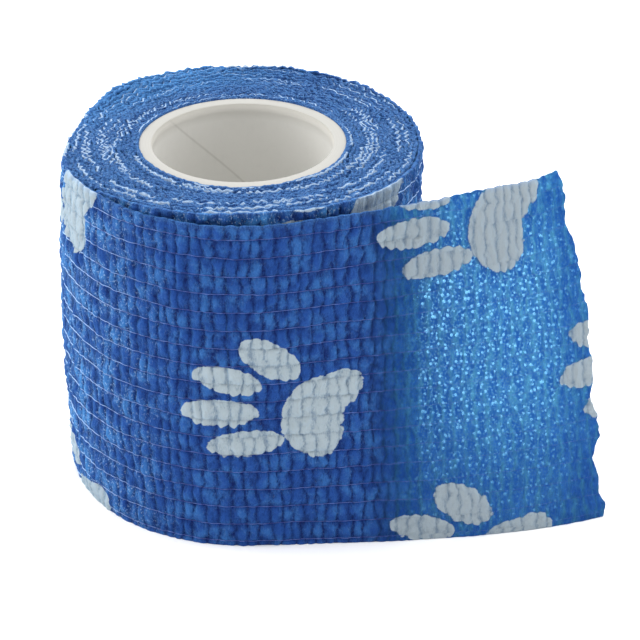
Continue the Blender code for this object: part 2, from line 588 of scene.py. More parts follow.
@dataclass
class OuterCloth:
    """The outermost turn and the loose end: the cloth that shows, in full relief.

    The strip's base is a grid over (s, z). Its outward face stands out by half the cloth's
    thickness and the crepe's relief, and its inward face follows at a share of the relief. Names
    that end in along hold a Fade over the distance s in millimetres, those in up over the height z,
    those in round over the angle in degrees, and those in band a depth below the upper edge.
    """

    run: ClothRun
    crepe: Crepe
    paws: PawPrint
    maker: MeshMaker
    cloth: bpy.types.Material
    sheer_cloth: bpy.types.Material
    thickness: float = 0.36
    follow: float = 0.55
    turn_spans: tuple[tuple[str, float, float, float], ...] = (
        ("back_turn", -412.0, -145.0, 0.37),
        ("front_turn", -145.0, -4.0, 0.20),
    )
    loose_step: float = 0.21
    proud_height: float = 1.2
    proud_middle_deg: float = 5.0
    proud_half_deg: float = 75.0
    proud_round: Fade = Fade(-290.0, -270.0, 1.0, 0.0)
    outermost_round: Fade = Fade(-250.0, -200.0)
    flare: float = 0.75
    flare_round: Fade = Fade(-55.0, -5.0)
    flare_along: Fade = Fade(14.0, 34.0, 1.0, 0.0)
    edge_sways: Triples = ((-98.0, 44.0, -1.4), (-128.0, 24.0, 0.9), (170.0, 85.0, 0.5))
    edge_leans: Triples = ((-92.0, 34.0, -0.65),)
    bulges: Triples = ((-85.0, 60.0, 0.75), (100.0, 50.0, 0.3))
    curl_middle_deg: float = -148.0
    curl_half_deg: float = 62.0
    curl_turn_deg: float = 118.0
    curl_length: float = 2.2
    curl_rise: float = 1.15
    least_curl: float = 1e-6
    curl_band: float = 2.5
    curl_relief: float = 0.4
    curl_crinkle: float = 0.3
    relief_up: Fade = Fade(0.0, 1.6, 0.4)
    edge_strays: Triples = ((0.10, 0.8, 3.0), (0.08, 3.1, 0.0))
    edge_band: float = 1.2
    edge_puckers: float = 0.22
    usual_crest: float = 0.6
    foot_strays: float = 0.4
    foot_up: Fade = Fade(0.0, 1.0, 1.0, 0.0)
    teeth: Triples = ((0.24, 0.75, 40.0), (0.16, 2.4, 50.0))
    nicks: Triples = (
        (43.0, 5.0, -0.7),
        (32.5, 2.5, -0.3),
        (22.5, 4.0, 0.55),
        (17.3, 2.0, -0.75),
        (12.5, 3.0, 0.4),
        (8.5, 3.5, -1.1),
        (4.0, 3.5, -0.9),
    )
    corner_lift: float = 1.3
    corner_along: Fade = Fade(42.0, 54.0)
    lining_rows: int = 8
    sheer_along: Fade = Fade(15.5, 23.0)
    sheer_up: Fade = Fade(2.0, 22.0, 0.75)
    open_along: tuple[Fade, Fade] = (Fade(16.0, 27.0), Fade(41.0, 50.0, 1.0, 0.4))
    open_up: tuple[Fade, Fade] = (Fade(4.0, 22.0, 0.62), Fade(38.0, 48.0, 1.0, 0.6))
    frayed: float = 0.6
    frayed_band: float = 0.5
    # The band under the upper edge where the folded-over edge gets painted light
    painted_light_bands: tuple[float, float] = (2.4, 0.8)
    rag: Unevenness = field(default_factory=lambda: Unevenness(21))

    def hump(self, angle: Array, middle_deg: float, half_deg: float) -> Array:
        """A smooth hump round the roll: 1 at its middle angle and 0 beyond its half width."""
        off = (np.degrees(angle) - middle_deg + 180.0) % 360.0 - 180.0
        return 1.0 - smooth(np.abs(off), 0.0, half_deg)

    def outermost(self, angle: Array) -> Array:
        """1 on the outermost turn, and 0 on the turn beneath it and on the loose end."""
        return self.outermost_round.of(np.degrees(angle)) * (angle < 0.0)

    def nearing_top(self, z: Array, band: float) -> Array:
        """A smooth rise from 0 at a depth below the upper edge to 1 at the edge."""
        return smooth(z, self.run.width - band, self.run.width)

    def proud(self, angle: Array) -> Array:
        """How far the slipped turns stand above the cloth's width, all round the roll."""
        return self.proud_height * self.hump(angle, self.proud_middle_deg, self.proud_half_deg)

    def sway(self, angle: Array) -> Array:
        """How far the outermost turns' upper edge strays up or down, all round the roll."""
        return sum(rise * self.hump(angle, middle, half) for middle, half, rise in self.edge_sways)

    def bulge(self, angle: Array, share: Array) -> Array:
        """How far the outermost turn stands off at half height: humps round the roll times the
        square root of a half sine over the width."""
        off = sum(size * self.hump(angle, middle, half) for middle, half, size in self.bulges)
        return off * np.sqrt(np.sin(math.pi * np.clip(share, 0.0, 1.0)))

    def base(self, s: Array, z: Array) -> Array:
        """Places of the strip's middle, with the slipped turn and the flared upper edge.

        The turn beneath the outermost one is drawn up by the hump times the fourth power of the
        height's share. The outermost turn stands off the roll by the flare times the fifth power
        of that share, from just before it leaves and dying out along the loose end, and its upper
        edge leans in or out by the humps of edge_leans.
        """
        places = self.run.lie(s, z)
        share = z / self.run.width
        angle = self.run.angle_at(s)
        under = self.proud_round.of(np.degrees(angle))
        places[..., 2] += (self.proud(angle) * under + self.sway(angle) * (angle < 0.0)) * share**4
        places[..., 2] += self.corner_lift * self.corner_along.of(s) * share**4
        off = self.flare_round.of(np.degrees(angle)) * self.flare_along.of(s)
        outermost = self.outermost(angle)
        outward = normals_of(places)
        inward, drop = self.curl(angle, z, outermost)
        lean = sum(size * self.hump(angle, middle, half) for middle, half, size in self.edge_leans)
        off = (self.flare * off + lean * outermost) * share**5
        off = off + self.bulge(angle, share) * outermost - inward
        places[..., 2] -= drop
        return places + outward * off[..., None]

    def curled(self, angle: Array) -> Array:
        """How much the outermost turn's upper edge is folded over inward, all round the roll."""
        return self.hump(angle, self.curl_middle_deg, self.curl_half_deg)

    def curl(self, angle: Array, z: Array, outermost: Array) -> tuple[Array, Array]:
        """The fold of the outermost turn's upper edge over the turns inside it.

        Over the last curl_length of the width the cloth follows an arc: at an arc's angle t its
        radius times 1 - cos t is the way inward, and its length less its radius times sin t the
        way down. The cloth first stands up by curl_rise times the sixth power of the height's
        share.

        Args:
            angle: Angles round the roll, in radians.
            z: Distances across the cloth.
            outermost: 1 on the outermost turn and 0 elsewhere.

        Returns:
            How far inward and how far down each place moves.
        """
        share = self.curled(angle) * outermost
        run = np.clip(z - self.run.width + self.curl_length, 0.0, self.curl_length)
        turn = math.radians(self.curl_turn_deg) * np.maximum(share, self.least_curl)
        radius = self.curl_length / turn
        inward = radius * (1.0 - np.cos(run / radius))
        drop = run - radius * np.sin(run / radius)
        return inward, drop - self.curl_rise * share * (z / self.run.width) ** 6

    def edge_crinkle(self, s: Array, z: Array, crest: Array) -> Array:
        """How far the cloth's long edges stray up: with the puckers and at random."""
        ragged = self.rag.strays(s, self.edge_strays)
        high = self.edge_puckers * (crest - self.usual_crest) + ragged
        low = self.foot_strays * np.abs(ragged)
        return self.nearing_top(z, self.edge_band) * high + self.foot_up.of(z) * low

    def faces_of(self, s: Array, z: Array) -> tuple[Array, Array, Array]:
        """Both faces of the cloth and the crest's share.

        Args:
            s: Distances, a row for each grid row.
            z: Heights across the cloth, before the threads' wander.

        Returns:
            Outward face, inward face and crest share.
        """
        base = self.base(s, z + self.crepe.wander(s, z))
        outward = normals_of(base)
        relief, crest = self.crepe.relief(s, z)
        curled = self.curled(self.run.angle_at(s)) * self.nearing_top(z, self.curl_band)
        relief = relief * self.relief_up.of(z) * (1.0 - (1.0 - self.curl_relief) * curled)
        crinkle = self.edge_crinkle(s, z, crest)
        base[..., 2] += crinkle * (1.0 - (1.0 - self.curl_crinkle) * curled)
        half = self.thickness / 2
        front = base + outward * (half + relief)[..., None]
        back = base + outward * (relief * self.follow - half)[..., None]
        front[..., 2] = np.maximum(front[..., 2], 0.0)
        back[..., 2] = np.maximum(back[..., 2], 0.0)
        return front, back, crest

    def values(self, s: Array, z: Array, crest: Array, front: bool) -> dict[str, Array]:
        """What the cloth's finish reads at each point.

        cloth holds the place on the cloth in centimetres, crest the relief, from which the finish
        paints shade in the grooves, ink the signed distance to the print in millimetres, skin the
        depth below the printed face in millimetres, sheer how freely light reaches the cloth's back,
        open how open its pin holes are, frayed how near the upper edge it is, and turned how far it
        is folded over there, where the finish paints light on the folded-over edge.
        """
        return {
            "cloth": on_cloth(s, z).reshape(-1, 3),
            "crest": crest.ravel(),
            "ink": self.paws.distance(s, z).ravel(),
            "skin": np.full(s.size, 0.0 if front else self.thickness),
            "sheer": (self.sheer_along.of(s) * self.sheer_up.of(z)).ravel(),
            "open": self.openness(s, z).ravel(),
            "frayed": self.frayed * self.nearing_top(z, self.frayed_band).ravel(),
            "turned": self.turned(s, z).ravel(),
        }

    def turned(self, s: Array, z: Array) -> Array:
        """How much of the folded-over edge a place belongs to, for the painted light that the finish puts
        on it.
        """
        angle = self.run.angle_at(s)
        low, high = (self.run.width - band for band in self.painted_light_bands)
        return self.curled(angle) * smooth(z, low, high) * self.outermost(angle)

    def openness(self, s: Array, z: Array) -> Array:
        """How open the pin holes stand: most in the middle of the loose end, and less by its cut
        end and its edges."""
        along = math.prod(fade.of(s) for fade in self.open_along)
        return along * math.prod(fade.of(z) for fade in self.open_up)

    def shell(self, name: str, s: Array, z: Array) -> bpy.types.Object:
        """One closed piece of the strip.

        The rows go up the outward face and down the inward one as one loop, and a cap joins the
        two faces at each end of the piece.

        Args:
            name: The piece's name.
            s: Distances, a row for each grid row.
            z: Heights, of the same shape.

        Returns:
            The piece.
        """
        front, back, crest = self.faces_of(s, z)
        rows, columns = s.shape
        points = np.concatenate([front, back[::-1]]).reshape(-1, 3)
        ring = grid_faces(2 * rows, columns, around=True)
        number = np.arange(2 * rows * columns).reshape(2 * rows, columns)
        fore, aft = number[:rows], number[rows:][::-1]
        start = np.stack([aft[:-1, 0], fore[:-1, 0], fore[1:, 0], aft[1:, 0]], axis=-1)
        stop = np.stack([fore[:-1, -1], aft[:-1, -1], aft[1:, -1], fore[1:, -1]], axis=-1)
        outer = self.values(s, z, crest, front=True)
        inner = self.values(s[::-1], z[::-1], crest[::-1], front=False)
        values = {key: np.concatenate([outer[key], inner[key]]) for key in outer}
        faces = np.concatenate([ring, start, stop])
        return self.maker.piece(name, points, faces, self.sheer_cloth, values, Slot.CLOTH)

    def open_turn(self, name: str, s: Array, z: Array) -> bpy.types.Object:
        """A turn whose inward face lies on the next: its outward face, turned in over its edges
        and a little way down inside."""
        front, back, crest = self.faces_of(s, z)
        lining = slice(-1, -1 - self.lining_rows, -1)
        points = np.concatenate([back[:1], front, back[lining]])
        outer = self.values(s, z, crest, front=True)
        low = self.values(s[:1], z[:1], crest[:1], front=False)
        high = self.values(s[lining], z[lining], crest[lining], front=False)
        values = {key: np.concatenate([low[key], outer[key], high[key]]) for key in outer}
        faces = grid_faces(len(points), s.shape[1])
        return self.maker.piece(name, points.reshape(-1, 3), faces, self.cloth, values, Slot.CLOTH)

    def ragged_end(self, z: Array) -> Array:
        """Distances of the cut end with its small teeth: random, a few to each thread's row."""
        share = z / self.run.width
        bites = sum(size * (1.0 - smooth(np.abs(z - at), 0.0, half)) for at, half, size in self.nicks)
        return self.run.end(share) + self.rag.strays(z, self.teeth) + bites

    def make(self) -> list[bpy.types.Object]:
        """Make the outermost turn in two spans and then the loose end, each meeting the next."""
        rows = self.crepe.rows()[:, None]
        made = []
        for name, from_deg, to_deg, step in self.turn_spans:
            low, high = (self.run.distance_at(math.radians(value)) for value in (from_deg, to_deg))
            line = np.linspace(low, high, int((high - low) / step) + 1)
            s = np.repeat(line[None, :], len(rows), axis=0)
            turn = self.open_turn(name, s, np.broadcast_to(rows, s.shape))
            made.append(turn)
        end = self.ragged_end(rows)
        count = int((end.mean() - high) / self.loose_step)
        loose = high + (end - high) * np.linspace(0.0, 1.0, count + 1)[None, :]
        tail = self.shell("loose_end", loose, np.broadcast_to(rows, loose.shape))
        return [*made, tail]

    def inmost(self) -> float:
        """The distance where the outermost turn's first span begins."""
        return float(self.run.distance_at(math.radians(self.turn_spans[0][1])))


@dataclass
class WoundTurns:
    """The turns inside, as one ribbon of the full width from the tube to the outermost turn.

    The ribbon's section is a loop of ten points: two long sides, and an edge of three points at
    the top and at the bottom. It zigzags with the crepe near its edges and runs plainly between.
    Names that end in depths hold two depths below the roll's outer face in millimetres, and those
    in from_tube a Fade over the distance from the inmost turn.
    """

    outer: OuterCloth
    step: float = 0.213
    thickness: float = 0.34
    edge_thickness: float = 0.52
    zigzag: float = 0.38
    zigzags_a_turn: int = 92
    phase_drift: float = 0.8
    phase_length: float = 1.7
    usual_size: float = 0.80
    size_spread: float = 0.55
    size_length: float = 1.3
    lower_seed: float = 300.0
    bends_from_tube: Fade = Fade(-0.1, 0.6)
    edge_depth: float = 1.5
    edge_round: float = 0.07
    edge_skins: tuple[float, float] = (0.19, 0.36)
    tube_gap: float = 0.04
    tube_radius: float = 14.35
    rise_at_tube: float = 0.22
    rise_from_tube: Fade = Fade(0.0, 1.5, 1.0, 0.0)
    proud_depth: float = 1.0
    sway_depths: tuple[float, float] = (3.5, 0.0)
    rise_at_curl: float = 0.75
    rise_depths: tuple[float, float] = (4.5, 1.0)
    # Painted light on the upper edges of the turns under the curled edge, at the back of the end face
    painted_light_at_curl: float = 0.9
    painted_light_depths: tuple[float, float] = (8.5, 2.0)
    edge_strays: Triples = ((0.12, 0.5, 1.0), (0.10, 4.0, 9.0))
    fluff: Ripple = Ripple(0.09, 0.4, math.inf, row_step=5.0)
    tip_crest: float = 0.72
    tip_strays: Triples = ((0.33, 0.45, 77.0),)
    # A low crest share on the long sides: painted shade between the turns
    side_crest_painted_shade: float = 0.2
    rough: Unevenness = field(default_factory=lambda: Unevenness(31))

    def section(self, top: Array) -> tuple[Array, Array]:
        """The loop's offsets outward and its heights, a row for each of the ten points.

        Args:
            top: The upper edge's height at each column.

        Returns:
            Offsets as a column, and heights with a row for each point.
        """
        half, wide = self.thickness / 2, self.edge_thickness / 2
        depth, round_ = self.edge_depth, self.edge_round
        bottom = np.zeros_like(top)
        sides = np.array([half, half, wide, 0.0, -wide, -half, -half, -wide, 0.0, wide])
        heights = np.stack(
            [
                bottom + depth,
                top - depth,
                top - round_,
                top,
                top - round_,
                top - depth,
                bottom + depth,
                bottom + round_,
                bottom,
                bottom + round_,
            ]
        )
        return sides[:, None], heights

    def bend(self, angle: Array, radius: Array, seed: float) -> Array:
        """How far an edge zigzags: a triangle wave round the roll, as many to each turn so that
        the turns nest, with an uneven phase that drifts from turn to turn, and an uneven size.

        Args:
            angle: Angles round the roll, in radians.
            radius: Distances from the axis.
            seed: Where the random field is read from, so that the two edges differ.

        Returns:
            The way outward at each column.
        """
        x, y = radius * np.sin(angle), radius * np.cos(angle)
        drift = self.rough.at(x / self.phase_length + seed, y / self.phase_length)
        phase = angle / TURN * self.zigzags_a_turn + self.phase_drift * drift
        wave = np.arcsin(np.sin(TURN * phase)) / (TURN / 4)
        spread = self.rough.at(x / self.size_length + seed, y / self.size_length)
        return self.zigzag * wave * (self.usual_size + self.size_spread * spread)

    def nearing(self, radius: Array, depths: tuple[float, float]) -> Array:
        """A smooth rise from 0 to 1 between two depths below the roll's outer face."""
        low, high = (self.outer.run.outer_radius - depth for depth in depths)
        return smooth(radius, low, high)

    def make(self) -> bpy.types.Object:
        """Make the ribbon from the innermost turn to where the outermost turn's piece begins. Its
        first turn lies on the tube without a spiral's rise."""
        outer, run = self.outer, self.outer.run
        k = run.growth()
        inmost = self.tube_radius + self.tube_gap + self.thickness / 2
        start = run.distance_at((inmost - run.outer_radius) / k) - TURN * inmost
        stop = outer.inmost()
        s = np.linspace(start, stop, int((stop - start) / self.step) + 1)
        angle = run.angle_at(s)
        radius = np.maximum(run.outer_radius + k * angle, inmost)
        edge = outer.proud(angle)
        edge = edge * smooth(radius, self.tube_radius, run.outer_radius - self.proud_depth)
        edge = edge + outer.sway(angle) * self.nearing(radius, self.sway_depths)
        curled = outer.curled(angle)
        edge = edge + self.rise_at_curl * curled * self.nearing(radius, self.rise_depths)
        edge = edge + self.rise_at_tube * self.rise_from_tube.of(radius - inmost)
        edge = edge + self.rough.strays(s, self.edge_strays)
        sides, heights = self.section(run.width + edge)
        near_top = np.array([0, 0, 1, 1, 1, 0, 0, 0, 0, 0])[:, None]
        near_low = np.array([0, 0, 0, 0, 0, 0, 0, 1, 1, 1])[:, None]
        near_edge = near_top + near_low
        points = np.arange(len(heights))[:, None]
        bends = near_edge * self.fluff.of(self.rough, s[None, :], 0.0, points)
        bends = bends + near_top * self.bend(angle, radius, 0.0)
        bends = bends + near_low * self.bend(angle, radius, self.lower_seed)
        away = radius + sides + bends * self.bends_from_tube.of(radius - inmost)
        places = round_axis(away, angle, heights)
        along = np.broadcast_to(s, heights.shape)
        skin = np.maximum(self.thickness / 2 - sides, 0.0)
        skin[3:5, 0] = self.edge_skins
        skin = np.broadcast_to(skin, heights.shape)
        tips = self.tip_crest + self.rough.strays(s, self.tip_strays)
        # Painted light on the turns' upper edges near the curl, where the curled edge shades them
        painted_light_near_curl = self.painted_light_at_curl * curled * self.nearing(radius, self.painted_light_depths)
        values = {
            "cloth": on_cloth(along, heights, away).reshape(-1, 3),
            # Low crest on the long sides: painted shade between the turns
            "crest": np.where(near_edge > 0, tips, self.side_crest_painted_shade).ravel(),
            "ink": outer.paws.distance(along, np.clip(heights, 0.0, run.width)).ravel(),
            "skin": skin.ravel(),
            "frayed": np.broadcast_to(near_edge * 1.0, heights.shape).ravel(),
            "turned": (painted_light_near_curl * near_top).ravel(),
        }
        faces = grid_faces(len(heights), len(s), around=True)
        made = outer.maker.piece(
            "wound_turns", places.reshape(-1, 3), faces, outer.cloth, values, Slot.CLOTH
        )
        return made


@dataclass
class ElasticThreads:
    """The elastic threads that show in the grooves of the outermost turn and the loose end.

    Each is a four-sided tube along its groove: its section's corners stand round the groove's
    line on the outward face. Its size fades along the loose end and under the print, and grows
    towards the roll's left side.
    """

    outer: OuterCloth
    material: bpy.types.Material
    radius: float = 0.058
    sides: int = 4
    step: float = 0.42
    rise: float = 0.06
    half_groove: float = 0.2
    short_of_end: float = 0.15
    fades_along: Fade = Fade(12.0, 30.0, 1.0, 0.25)
    fades_into_ink: Fade = Fade(-0.2, 0.2, 1.0, 0.3)
    grows_leftward: Fade = Fade(12.0, 34.0, 1.0, 1.5)

    def beside(self, s: Array, z: Array) -> Array:
        """Places of the strip's middle along rows beside the threads."""
        rows = np.broadcast_to(z, s.shape)
        return self.outer.base(s, rows + self.outer.crepe.wander(s, rows))

    def make(self) -> bpy.types.Object:
        """Make all the threads as one piece."""
        outer, sides = self.outer, self.sides
        thread_z = outer.crepe.thread_z()[:, None]
        start = outer.inmost()
        end = outer.ragged_end(thread_z) - self.short_of_end
        count = int((end.mean() - start) / self.step)
        s = start + (end - start) * np.linspace(0.0, 1.0, count + 1)[None, :]
        z = np.broadcast_to(thread_z, s.shape)
        low = self.beside(s, z - self.half_groove)
        high = self.beside(s, z + self.half_groove)
        middle, up = (low + high) / 2, unit(high - low)
        out = np.cross(unit(np.gradient(middle, axis=1)), up)
        relief, crest = outer.crepe.relief(s, z)
        ink = outer.paws.distance(s, z)
        fade = self.fades_along.of(s) * self.fades_into_ink.of(-ink) * self.grows_leftward.of(-s)
        centre = middle + out * (outer.thickness / 2 + relief + self.rise * fade)[..., None]
        radius = (self.radius * fade)[..., None]
        corners = [
            centre + (out * math.sin(turn) + up * math.cos(turn)) * radius
            for turn in np.arange(sides) * TURN / sides
        ]
        points = np.stack(corners, axis=1)
        threads, _, columns, _ = points.shape
        one = grid_faces(sides, columns, around=True, outward=False)
        faces = np.concatenate([one + number * sides * columns for number in range(threads)])
        values = {
            "ink": np.repeat(ink[:, None], sides, axis=1).ravel(),
            "crest": np.repeat(crest[:, None], sides, axis=1).ravel(),
            "cloth": np.repeat(on_cloth(s, z)[:, None], sides, axis=1).reshape(-1, 3),
        }
        return outer.maker.piece(
            "elastic_threads", points.reshape(-1, 3), faces, self.material, values, Slot.CLOTH
        )


@dataclass
class PaperTube:
    """The wound paper tube: a wall with rounded edges, and the seam of its inmost strip.

    The wall's section is a closed loop: up the outside, round the upper edge, down the bore and
    round the lower edge. The seam is a helix in the bore, where the paper steps in a little.
    """

    maker: MeshMaker
    material: bpy.types.Material
    height: float
    outer_radius: float
    bore_radius: float = 12.5
    bore_skin: float = 0.1
    edge: float = 0.18
    edge_points: int = 5
    wall_points: int = 45
    plain_every: int = 11
    around: int = 360
    seam_top_deg: float = 236.0
    seam_rise: float = 0.2267
    seam_step: float = 0.03
    seam_far: float = 50.0
    shade_depth: float = 2.4
    roughness: float = 0.008
    rough_around: float = 9.0
    rough_up: float = 8.0
    rough: Unevenness = field(default_factory=lambda: Unevenness(41))

    def section(self) -> Array:
        """Radius and height of the loop's points, with quarter circles at its four corners. The
        hidden outside takes only each plain_every-th point of the wall."""
        turn = np.radians(np.linspace(0.0, 90.0, self.edge_points))
        arc = np.stack([np.cos(turn), np.sin(turn)], axis=-1) * self.edge
        low, top = self.edge, self.height - self.edge
        out, bore = self.outer_radius - self.edge, self.bore_radius + self.edge
        wall = np.linspace(low, top, self.wall_points)
        parts = [
            np.stack([np.full_like(wall, self.outer_radius), wall], axis=-1)[:: self.plain_every],
            arc + [out, top],
            arc[::-1] * [-1, 1] + [bore, top],
            np.stack([np.full_like(wall, self.bore_radius), wall], axis=-1)[::-1],
            arc * [-1, -1] + [bore, low],
            arc[::-1] * [1, -1] + [out, low],
        ]
        return np.concatenate(parts)

    def make(self) -> bpy.types.Object:
        """Make the tube."""
        section = self.section()
        angle = np.linspace(0.0, TURN, self.around, endpoint=False)
        radius = np.repeat(section[:, :1], self.around, axis=1)
        z = np.repeat(section[:, 1:], self.around, axis=1)
        seam = np.radians(self.seam_top_deg - (self.height - z) / self.seam_rise)
        past = (angle[None, :] - seam) % TURN
        bore = smooth(-radius, -self.bore_radius - self.bore_skin, -self.bore_radius)
        radius = radius + bore * self.seam_step * (1.0 - past / TURN)
        rough = self.rough.at(angle[None, :] * self.rough_around, section[:, 1:] / self.rough_up)
        radius = radius + self.roughness * rough
        places = round_axis(radius, angle, z)
        number = np.arange(places[..., 0].size).reshape(len(section), self.around)
        up, on = np.roll(number, -1, axis=0), np.roll(number, -1, axis=1)
        faces = np.stack([number, on, np.roll(up, -1, axis=1), up], axis=-1).reshape(-1, 4)
        off = (past - TURN * (past > TURN / 2)) * self.bore_radius
        values = {
            "seam": (off + (1.0 - bore) * self.seam_far).ravel(),
            "wall": ((radius - self.bore_radius) / (self.outer_radius - self.bore_radius)).ravel(),
            # How far down the bore a place is, for the finish's painted light that grows with depth
            "deep": (bore * smooth(self.height - z, 0.0, self.shade_depth)).ravel(),
            "bore": bore.ravel(),
        }
        return self.maker.piece(
            "paper_tube", places.reshape(-1, 3), faces, self.material, values, Slot.PAPER
        )


Socket = bpy.types.NodeSocket


class Weave:
    """Builds a material's nodes: each method adds one step and returns its outgoing socket."""

    def __init__(self, name: str) -> None:
        """Start a material with its Principled shader and its output."""
        self.material = bpy.data.materials.new(name)
        self.material.use_nodes = True
        self.nodes = self.material.node_tree.nodes
        self.links = self.material.node_tree.links
        self.shader = self.nodes["Principled BSDF"]
        self.output = self.nodes["Material Output"]

    def give(self, target: Socket, value: Socket | float | tuple) -> None:
        """Link a socket to another, or set it to a constant."""
        if isinstance(value, Socket):
            self.links.new(value, target)
        else:
            target.default_value = value

    def dress(self, values: dict[str, Socket | float | tuple]) -> None:
        """Give the shader its colour, normal and constants, by the names of its sockets."""
        for key, value in values.items():
            self.give(self.shader.inputs[key], value)

    def read(self, name: str, part: str = "Fac") -> Socket:
        """An attribute of the mesh."""
        node = self.nodes.new("ShaderNodeAttribute")
        node.attribute_name = name
        return node.outputs[part]

    def maths(self, kind: str, *values: Socket | float) -> Socket:
        """One sum on numbers."""
        node = self.nodes.new("ShaderNodeMath")
        node.operation = kind
        for target, value in zip(node.inputs, values):
            self.give(target, value)
        return node.outputs[0]

    def times(self, *values: Socket | float) -> Socket:
        """The product of numbers, one after another."""
        return reduce(partial(self.maths, "MULTIPLY"), values)

    def plus(self, *values: Socket | float) -> Socket:
        """The sum of numbers, one after another."""
        return reduce(partial(self.maths, "ADD"), values)

    def less(self, first: Socket | float, second: Socket | float) -> Socket:
        """The first number less the second."""
        return self.maths("SUBTRACT", first, second)

    def along(self, vector: Socket) -> Socket:
        """A place's first coordinate."""
        node = self.nodes.new("ShaderNodeSeparateXYZ")
        self.give(node.inputs[0], vector)
        return node.outputs[0]

    def stretch(self, vector: Socket, across: float) -> Socket:
        """A place whose second coordinate is multiplied by a number."""
        node = self.nodes.new("ShaderNodeVectorMath")
        node.operation = "MULTIPLY"
        self.give(node.inputs[0], vector)
        self.give(node.inputs[1], (1.0, across, 1.0))
        return node.outputs[0]

    def noise(self, vector: Socket, scale: float, detail: float = 2.0, rough: float = 0.5) -> Socket:
        """Smooth noise from 0 to 1."""
        node = self.nodes.new("ShaderNodeTexNoise")
        for key, value in zip(("Vector", "Scale", "Detail", "Roughness"), (vector, scale, detail, rough)):
            self.give(node.inputs[key], value)
        return node.outputs["Fac"]

    def cells(self, vector: Socket, scale: float, part: str = "Distance") -> Socket:
        """Distance to the nearest of points scattered over the cloth, or that one's random colour."""
        node = self.nodes.new("ShaderNodeTexVoronoi")
        node.voronoi_dimensions = "2D"
        self.give(node.inputs["Vector"], vector)
        self.give(node.inputs["Scale"], scale)
        return node.outputs[part]

    def ramp(self, value: Socket, low: float, high: float, to: tuple = (0.0, 1.0)) -> Socket:
        """A number carried from one range to another and held inside it."""
        node = self.nodes.new("ShaderNodeMapRange")
        node.clamp = True
        keys = ("Value", "From Min", "From Max", "To Min", "To Max")
        for key, amount in zip(keys, (value, low, high, *to)):
            self.give(node.inputs[key], amount)
        return node.outputs["Result"]

    def blend(self, share: Socket, first: Socket | tuple, second: Socket | tuple) -> Socket:
        """A colour between two colours."""
        node = self.nodes.new("ShaderNodeMix")
        node.data_type = "RGBA"
        self.give(node.inputs["Factor"], share)
        for key, colour in (("A", first), ("B", second)):
            target = next(x for x in node.inputs if x.name == key and x.type == "RGBA")
            self.give(target, colour if isinstance(colour, Socket) else (*colour, 1.0))
        return next(x for x in node.outputs if x.type == "RGBA")

    def bump(self, height: Socket, distance: float, strength: float = 1.0) -> Socket:
        """A normal tilted by a height."""
        node = self.nodes.new("ShaderNodeBump")
        for key, value in (("Distance", distance), ("Strength", strength), ("Height", height)):
            self.give(node.inputs[key], value)
        return node.outputs["Normal"]

    def mixed(self, share: Socket | float, first: Socket, second: Socket) -> Socket:
        """A shader between two shaders."""
        node = self.nodes.new("ShaderNodeMixShader")
        for target, value in zip(node.inputs, (share, first, second)):
            self.give(target, value)
        return node.outputs[0]


